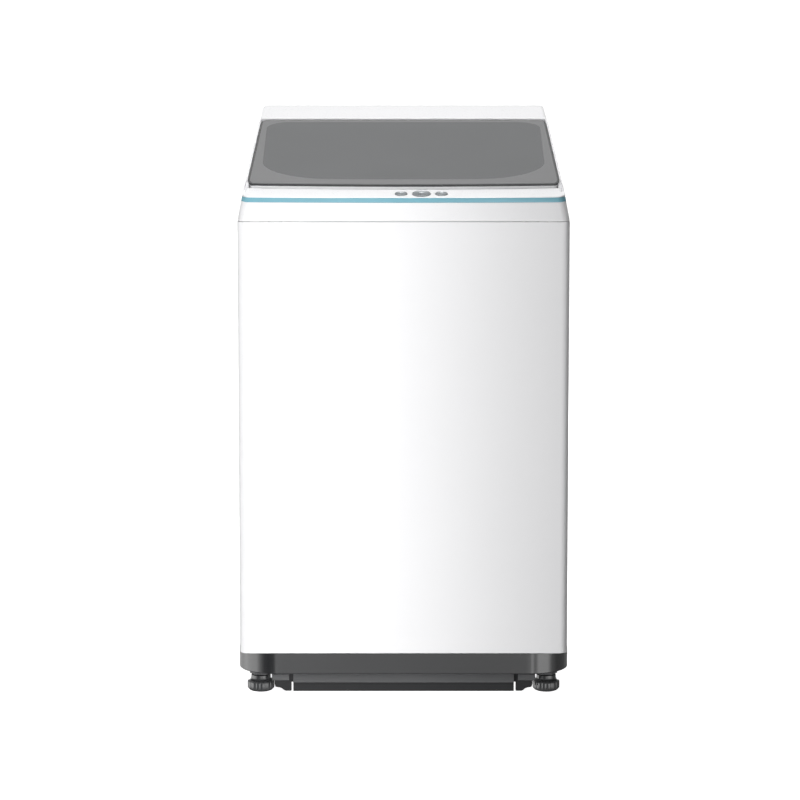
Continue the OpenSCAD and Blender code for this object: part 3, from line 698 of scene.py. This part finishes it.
def lid_loop(outline, w, tapered=True):
    """A ring in the lid's plane; its front bows, and its sides taper when asked."""
    points = []
    narrowing = (LID_HALF - LID_BACK_HALF) / LID_LENGTH
    for x, v in outline:
        u = x * (LID_HALF - v * narrowing) / LID_HALF if tapered else x
        points.append(lid_point(u, v + bow(u) * (1 - smoothstep(10, 160, v)), w))
    return points


def glass_edge(inset, w, back=0.0):
    """The glass outline moved inwards; its front corners run further back than in."""
    outline = rounded_loop(
        LID_HALF - inset, inset, LID_LENGTH - inset - back, LID_CORNER, LID_STEPS, LID_ARC_STEPS,
        LID_CORNER_LONG - inset, 13 - inset * 0.6
    )
    return lid_loop(outline, w)


def window_edge(w, grow=0.0):
    """The smoked window's outline, with large round front corners."""
    outline = rounded_loop(
        238 + grow, 33 - grow, 412 + grow, 112 + grow, LID_STEPS, LID_ARC_STEPS, None, 42 + grow
    )
    return lid_loop(outline, w, False)


def lid_panes():
    """The glass lid: a dark ground edge, a lighter margin over the frame, and the smoked window."""
    rim = [glass_edge(0.8, -4), glass_edge(0, -3.2), glass_edge(0, -1.6), glass_edge(0.25, -0.7)]
    rim += [glass_edge(0.8, -0.15), glass_edge(1.5, 0), glass_edge(3.2, 0), glass_edge(3.2, -4)]
    edge = lofted("lid_glass_edge", rim, "smoked_glass", "lid")
    paint(edge, "lid_edge")
    even_normals(edge)
    margin_loops = [glass_edge(3.2, 0), window_edge(0), window_edge(-4), glass_edge(3.2, -4)]
    margin = lofted("lid_glass_margin", margin_loops, "smoked_glass", "lid")
    paint(margin, "lid_margin")
    even_normals(margin)
    top, bottom = window_edge(0), window_edge(-4)
    faces = prism_faces(len(top))
    window = build("lid_glass_window", scaled(top + bottom), faces, "smoked_glass", "lid", smooth=False)
    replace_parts(window, "lid_glass")


def lid_rim():
    """The white frame under the glass: a channel open below, with lugs for the hinge pins."""
    inset, wall, back = 1.0, 3.0, 6.0
    top, under, low = -4.05, -7.0, -15.6
    loops = [glass_edge(inset, top - 0.5, back), glass_edge(inset + 0.5, top, back), window_edge(top, -0.4)]
    loops += [window_edge(low + 0.8, -0.4), window_edge(low, 0.4)]
    loops += [window_edge(low, wall), window_edge(under, wall)]
    loops += [glass_edge(inset + wall, under, back), glass_edge(inset + wall, low, back)]
    loops += [glass_edge(inset + 0.8, low, back), glass_edge(inset, low + 0.8, back)]
    rim = lofted("lid_rim", loops, "white_plastic", "lid")
    carve(rim, [box_cutter((sx - 16, 159, 840), (sx + 16, 200, 960)) for sx in (-250, 250)])
    paint(rim, "white_plastic")
    shade_smooth(rim)
    even_normals(rim)
    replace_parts(rim, "lid_frame")
    lug_width = 21.9
    lug_section = [(413, -4.1), (432, -4.1), (432, -10), (429, -12.4), (424, -12.4), (413, -10)]
    for name, x in (("lid_lug_left", -233.9), ("lid_lug_right", 212)):
        near = [lid_point(x, v, w) for v, w in lug_section]
        far = [lid_point(x + lug_width, v, w) for v, w in lug_section]
        build(name, scaled(near + far), prism_faces(len(near)), "white_plastic", "lid", smooth=False)


def rear_console_shell():
    """The raised back console: one profile drawn across, rolled over at both ends."""
    profile = [
        (189.3, 900), (189.3, 921.4), (189.8, 922.7), (191, 923.6), (205, 926.4), (222, 929.9), (240, 933.6),
        (254, 936.4), (261, 937.7), (267, 937.8), (273, 936.3), (278.5, 932.6), (282.6, 926.8), (284.6, 920),
        (285, 912), (285, 900)
    ]
    roll, half_wide, half_deep, middle_y, tall = 8.0, 252, 48, 237, 38
    stations = []
    for k in range(7):
        turn = math.radians(15 * k)
        stations.append((-1 + roll * (1 - math.cos(turn)) / half_wide, roll * (1 - math.sin(turn))))
    middle = [(t / 10, 0.0) for t in range(-9, 10)]
    spans = stations + middle + [(-t, i) for t, i in reversed(stations)]
    loops = []
    for t, inset in spans:
        loop = []
        for y, z in profile:
            height = CONSOLE_Z + (z - CONSOLE_Z) * (1 - inset / tall)
            depth = middle_y + (y - middle_y) * (1 - 0.5 * inset / half_deep)
            loop.append((t * side_half(height), depth, height))
        loops.append(loop)
    verts = [point for loop in loops for point in scaled(loop)]
    columns = len(profile)
    faces = [face[::-1] for face in strip_faces(len(loops), columns, True, False)]
    faces.append(tuple(range(columns)))
    faces.append(tuple(range(len(verts) - 1, len(verts) - columns - 1, -1)))
    shell = build("rear_console_shell", verts, faces, "white_plastic", "cabinet")
    even_normals(shell)
    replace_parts(shell, "rear_console")


# ---- Base ----

BASE_GROW = 2.6
BASE_CORNER = 64
BASE_ROLL = 1.6
BASE_LOW = 36


def base_loop(inset, z, roll_turn=None):
    """One ring of the base; roll_turn goes round the rolled bottom edge, in degrees."""
    points = []
    half = HALF_W + BASE_GROW - inset
    for x, y in rounded_loop(half, FRONT_Y + inset, BACK_Y - inset, BASE_CORNER - inset, arc_steps=20):
        height, shrink = z, 0.0
        if roll_turn is not None:
            height = z + BASE_ROLL * (1 - math.sin(math.radians(roll_turn)))
            shrink = BASE_ROLL * (1 - math.cos(math.radians(roll_turn)))
        length = math.hypot(x / HALF_W, y / BACK_Y)
        points.append((x - shrink * x / HALF_W / length, y - shrink * y / BACK_Y / length, height))
    return points


def base_shell():
    """The dark moulded base with its large round corners and rolled lower edge, hollow below."""
    loops = [base_loop(1.2, 71.9), base_loop(0.4, 71.7), base_loop(0, 71), base_loop(0, 60)]
    loops += [base_loop(0, BASE_LOW, turn) for turn in (0, 18, 36, 54, 72, 90)]
    loops += [base_loop(13.5, BASE_LOW), base_loop(14.5, 38), base_loop(14.5, 67)]
    loops += [base_loop(44, 67), base_loop(44, 71.9)]
    verts = [point for loop in loops for point in scaled(loop)]
    faces = strip_faces(len(loops), len(loops[0]), True, True)
    ring = [(15, 67), (15, 38), (14, 37.1), (6, 37.1), (6, 67)]
    steps = 48
    for sx, sy in FOUR_CORNERS:
        start = len(verts)
        for r, z in ring:
            for angle in full_turn(steps):
                place = (sx * FOOT_X + r * math.cos(angle), sy * FOOT_Y + r * math.sin(angle), z)
                verts += scaled([place])
        faces += [tuple(i + start for i in face) for face in strip_faces(len(ring), steps, True, True)]
    shell = build("base_shell", verts, faces, "dark_plastic", "cabinet")
    even_normals(shell, 50)
    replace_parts(shell, "base_tray")


def dark_prism(name, near, far, look, flipped=False):
    """A moulded dark piece between two outlines."""
    faces = prism_faces(len(near), flipped)
    piece = build(name, scaled(near + far), faces, "dark_plastic", "cabinet", smooth=False)
    paint(piece, look)
    return piece


def front_skirt_pieces():
    """The skirt between the feet: a sloping flange and a dark plate, with a lug and a ledge at each end."""
    wide = 186
    front, back = -263, -255
    flange = [(-268, 17.6), (-270.2, 18.4), (-271, 20), (-266.6, 33), (-266, 33.6)]
    flange += [(back, 33.6), (back, 17.6)]
    plate = [(front, 2.4), (-262, 1.4), (-257, 1.4), (back, 2.4), (back, 17.5), (front, 17.5)]
    ledge = [(front, 21), (-266.5, 21), (-268, 22.5), (-266, 31), (front, 32)]
    hook = [(189, 3), (190, 2), (199, 2)]
    for degrees in range(40, 92, 6):
        turn = math.radians(degrees)
        hook.append((212 - 13 * math.cos(turn), -5 + 13 * math.sin(turn)))
    hook += [(216, 9), (217.5, 14), (217.5, 19.5), (222, 21.5)]
    hook += [(222, 33.6), (wide, 33.6), (wide, 17.8), (189, 17.6)]

    def across(name, section, low, high, look):
        near, far = ([(x, y, z) for y, z in section] for x in (low, high))
        return dark_prism(name, near, far, look, flipped=True)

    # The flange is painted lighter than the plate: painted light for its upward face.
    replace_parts(across("skirt_flange", flange, -wide, wide, "skirt_painted_lit_plastic"), "front_skirt")
    across("skirt_plate", plate, -wide, wide, "skirt_dark")
    for side, end in ((-1, "left"), (1, "right")):
        near, far = ([(side * x, y, z) for x, z in hook] for y in (front, back))
        dark_prism("skirt_lug_" + end, near, far, "skirt_dark", flipped=side < 0)
        low, high = (193, 221.5) if side > 0 else (-221.5, -193)
        # The ledges share the flange's painted light.
        across("skirt_ledge_" + end, ledge, low, high, "skirt_painted_lit_plastic")


def front_foot(side, body, node_name):
    """A moulded screw foot with finger grips round its rim and a collar up to the stud."""
    around = 128
    outline = [
        (0.02, 0.0), (17.0, 0.0), (19.2, 1.0), (21.6, 3.4), (22.8, 5.4), (22.8, 15.0), (22.0, 17.0),
        (20.4, 18.4), (18.6, 19.2), (17.2, 20.2), (16.6, 21.4), (16.4, 26.8), (15.6, 27.6), (5.0, 27.7),
        (5.0, 58.6), (4.4, 59.2), (0.02, 59.2)
    ]
    verts = []
    for r, z in outline:
        for angle in full_turn(around):
            grip = 0.8 * max(0.0, math.cos(16 * angle)) ** 0.6 if 3 < z < 18 and r > 20 else 0.0
            radius = r - grip
            verts.append((side * FOOT_X + radius * math.cos(angle), -FOOT_Y + radius * math.sin(angle), z))
    faces = strip_faces(len(outline), around, True, True)
    foot = build(body + "_cup", scaled(verts), faces, "black_rubber", body)
    paint(foot, "foot_plastic")
    even_normals(foot, 40)
    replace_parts(foot, node_name)


def coil_springs():
    """The four suspension springs with closed end turns; they ride on the tub."""
    turns, per_turn, sides = 6, 32, 10
    coil_r, wire_r = 14.0, 2.1
    low, high = 150.1, 199.9
    rings = turns * per_turn + 1
    verts, faces = [], []
    for sx, sy in FOUR_CORNERS:
        start = len(verts)
        for k in range(rings):
            angle = 2 * math.pi * k / per_turn
            climb = min(1.0, max(0.0, (k / per_turn - 0.5) / (turns - 1)))
            z = low + wire_r + climb * (high - low - 2 * wire_r)
            for around in full_turn(sides):
                r = coil_r + wire_r * math.cos(around)
                x, y = sx * ROD_X + r * math.cos(angle), sy * ROD_Y + r * math.sin(angle)
                verts += scaled([(x, y, z + wire_r * math.sin(around))])
        faces += [tuple(i + start for i in face) for face in strip_faces(rings, sides, True, False)]
        faces.append(tuple(start + side for side in reversed(range(sides))))
        faces.append(tuple(start + (rings - 1) * sides + side for side in range(sides)))
    springs = build("coil_springs", verts, faces, "zinc_steel", "tub")
    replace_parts(springs, "suspension_springs")
    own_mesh(springs)


# ---- Pieces ----

basket_wall()
pulsator_plate()
top_cover_skin()
control_plate()
button_cap("power_cap", *BUTTONS["power"], "power_key")
button_cap("program_cap", *BUTTONS["program"], "program_key")
button_cap("start_cap", *BUTTONS["start"], "start_key")
light_strip()
lid_panes()
lid_rim()
rear_console_shell()
base_shell()
front_skirt_pieces()
coil_springs()
front_foot(-1, "left_foot", "foot_front_left")
front_foot(1, "right_foot", "foot_front_right")
paint(NODES["foot_lock_nuts"], "dark_zinc")


# ---- Studio ----

KEY_POWER = 9.9
TOP_POWER = 46
REAR_POWER = 10


def area_light(name, place, target, size, power):
    data = bpy.data.lights.new(name, "AREA")
    data.shape = "RECTANGLE"
    data.size, data.size_y = size
    data.energy = power
    lamp = bpy.data.objects.new(name, data)
    lamp.location = place
    lamp.rotation_euler = (Vector(target) - Vector(place)).to_track_quat("-Z", "Y").to_euler()
    bpy.context.scene.collection.objects.link(lamp)
    return lamp


# Brightness of the surroundings by compass direction in degrees, front 0 and left negative: near the
# horizon and below, and then above it
LOW_RING = [
    (-180, 0.15), (-130, 0.5), (-108, 0.95), (-66, 0.95), (-52, 0.35), (-40, 0.05), (-26, 0.0), (-9, 0.05),
    (-4.5, 0.46), (-1.4, 0.38), (1.3, 0.20), (3.0, 0.3), (5.0, 0.85), (10, 0.8), (14, 0.35), (20, 0.5),
    (26, 0.95), (56, 0.9), (70, 0.25), (90, 0.1), (120, 0.1), (180, 0.15)
]
HIGH_RING = [
    (-180, 0.235), (-165, 0.27), (-120, 0.24), (-90, 0.13), (0, 0.03), (90, 0.03), (140, 0.14),
    (165, 0.20), (180, 0.235)
]
SKY_POWER = 2.0
FLOOR_LEVEL = 0.075


def sky_ring(tree, place, stops):
    ramp = tree.nodes.new("ShaderNodeValToRGB")
    elements = ramp.color_ramp.elements
    for number, (degrees, level) in enumerate(stops):
        position = (degrees + 180) / 360
        element = elements[number] if number < 2 else elements.new(position)
        element.position = position
        element.color = (level, level, level, 1)
    tree.links.new(place, ramp.inputs["Fac"])
    return ramp.outputs["Color"]


def sky_blend(tree, height, low, high, first, second):
    """Goes from one colour to another as the direction climbs between two heights."""
    span = tree.nodes.new("ShaderNodeMapRange")
    span.interpolation_type = "SMOOTHSTEP"
    span.inputs["From Min"].default_value = low
    span.inputs["From Max"].default_value = high
    tree.links.new(height, span.inputs["Value"])
    blend = tree.nodes.new("ShaderNodeMixRGB")
    tree.links.new(span.outputs["Result"], blend.inputs["Fac"])
    for socket, colour in (("Color1", first), ("Color2", second)):
        if isinstance(colour, tuple):
            blend.inputs[socket].default_value = colour
        else:
            tree.links.new(colour, blend.inputs[socket])
    return blend.outputs["Color"]


def world_light(scene):
    """Surroundings that change with the compass direction and with the height above the horizon."""
    world = bpy.data.worlds.new("studio")
    scene.world = world
    world.use_nodes = True
    tree = world.node_tree
    tree.nodes.clear()
    out = tree.nodes.new("ShaderNodeOutputWorld")
    sky = tree.nodes.new("ShaderNodeBackground")
    coords = tree.nodes.new("ShaderNodeTexCoord")
    split = tree.nodes.new("ShaderNodeSeparateXYZ")
    back = tree.nodes.new("ShaderNodeMath")
    turn = tree.nodes.new("ShaderNodeMath")
    place = tree.nodes.new("ShaderNodeMapRange")
    back.operation = "MULTIPLY"
    back.inputs[1].default_value = -1.0
    turn.operation = "ARCTAN2"
    tree.links.new(coords.outputs["Generated"], split.inputs["Vector"])
    tree.links.new(split.outputs["Y"], back.inputs[0])
    tree.links.new(split.outputs["X"], turn.inputs[0])
    tree.links.new(back.outputs["Value"], turn.inputs[1])
    tree.links.new(turn.outputs["Value"], place.inputs["Value"])
    place.inputs["From Min"].default_value = -math.pi
    place.inputs["From Max"].default_value = math.pi
    height = split.outputs["Z"]
    low_ring = sky_ring(tree, place.outputs["Result"], LOW_RING)
    high_ring = sky_ring(tree, place.outputs["Result"], HIGH_RING)
    lower = sky_blend(tree, height, -0.42, -0.26, (FLOOR_LEVEL, FLOOR_LEVEL, FLOOR_LEVEL, 1), low_ring)
    colour = sky_blend(tree, height, -0.08, 0.06, lower, high_ring)
    tree.links.new(colour, sky.inputs["Color"])
    sky.inputs["Strength"].default_value = SKY_POWER
    tree.links.new(sky.outputs["Background"], out.inputs["Surface"])


def white_stage(name, size, place, tilt):
    """A white floor or backdrop that only shows itself, so it doesn't light or tint the machine."""
    bpy.ops.mesh.primitive_plane_add(size=size, location=place, rotation=(tilt, 0, 0))
    plane = bpy.context.active_object
    plane.name = name
    mat, tree, bsdf = new_material(name)
    patches = noise(tree, 2.0, 2.0)
    pale = tint(tree, patches.outputs["Fac"], (0.93, 0.93, 0.93), (0.95, 0.95, 0.95))
    tree.links.new(pale, bsdf.inputs["Base Color"])
    bsdf.inputs["Roughness"].default_value = 0.9
    bsdf.inputs["Emission Color"].default_value = (1, 1, 1, 1)
    bsdf.inputs["Emission Strength"].default_value = 1.0
    plane.data.materials.append(mat)
    plane.visible_diffuse = False
    plane.visible_glossy = False
    plane.visible_shadow = False


def studio():
    world_light(bpy.context.scene)
    key = area_light("key_front", (-0.20, -0.835, 0.45), (-0.20, 0.0, 0.45), (0.3, 2.6), KEY_POWER)
    key.visible_glossy = False
    key.visible_camera = False
    area_light("top", (0.0, 0.3, 3.0), (0.0, 0.0, 0.9), (1.6, 1.6), TOP_POWER)
    for side, name in ((-1, "rear_left"), (1, "rear_right")):
        area_light(name, (side * 1.0, 2.6, 0.55), (0.0, 0.28, 0.5), (0.8, 1.4), REAR_POWER)
    white_stage("floor", 80, (0, 0, 0), 0)
    white_stage("backdrop", 80, (0, 12, 0), math.radians(90))


def camera():
    data = bpy.data.cameras.new("camera")
    data.sensor_width = 36
    data.lens = 189.8
    data.clip_end = 100
    cam = bpy.data.objects.new("camera", data)
    cam.location = (-0.0060, -7.19, 1.7116)
    cam.rotation_euler = (math.radians(90 - 9.92), 0, 0)
    bpy.context.scene.collection.objects.link(cam)
    bpy.context.scene.camera = cam


studio()
camera()
scene = bpy.context.scene
scene.view_settings.view_transform = "Standard"
scene.view_settings.look = "None"
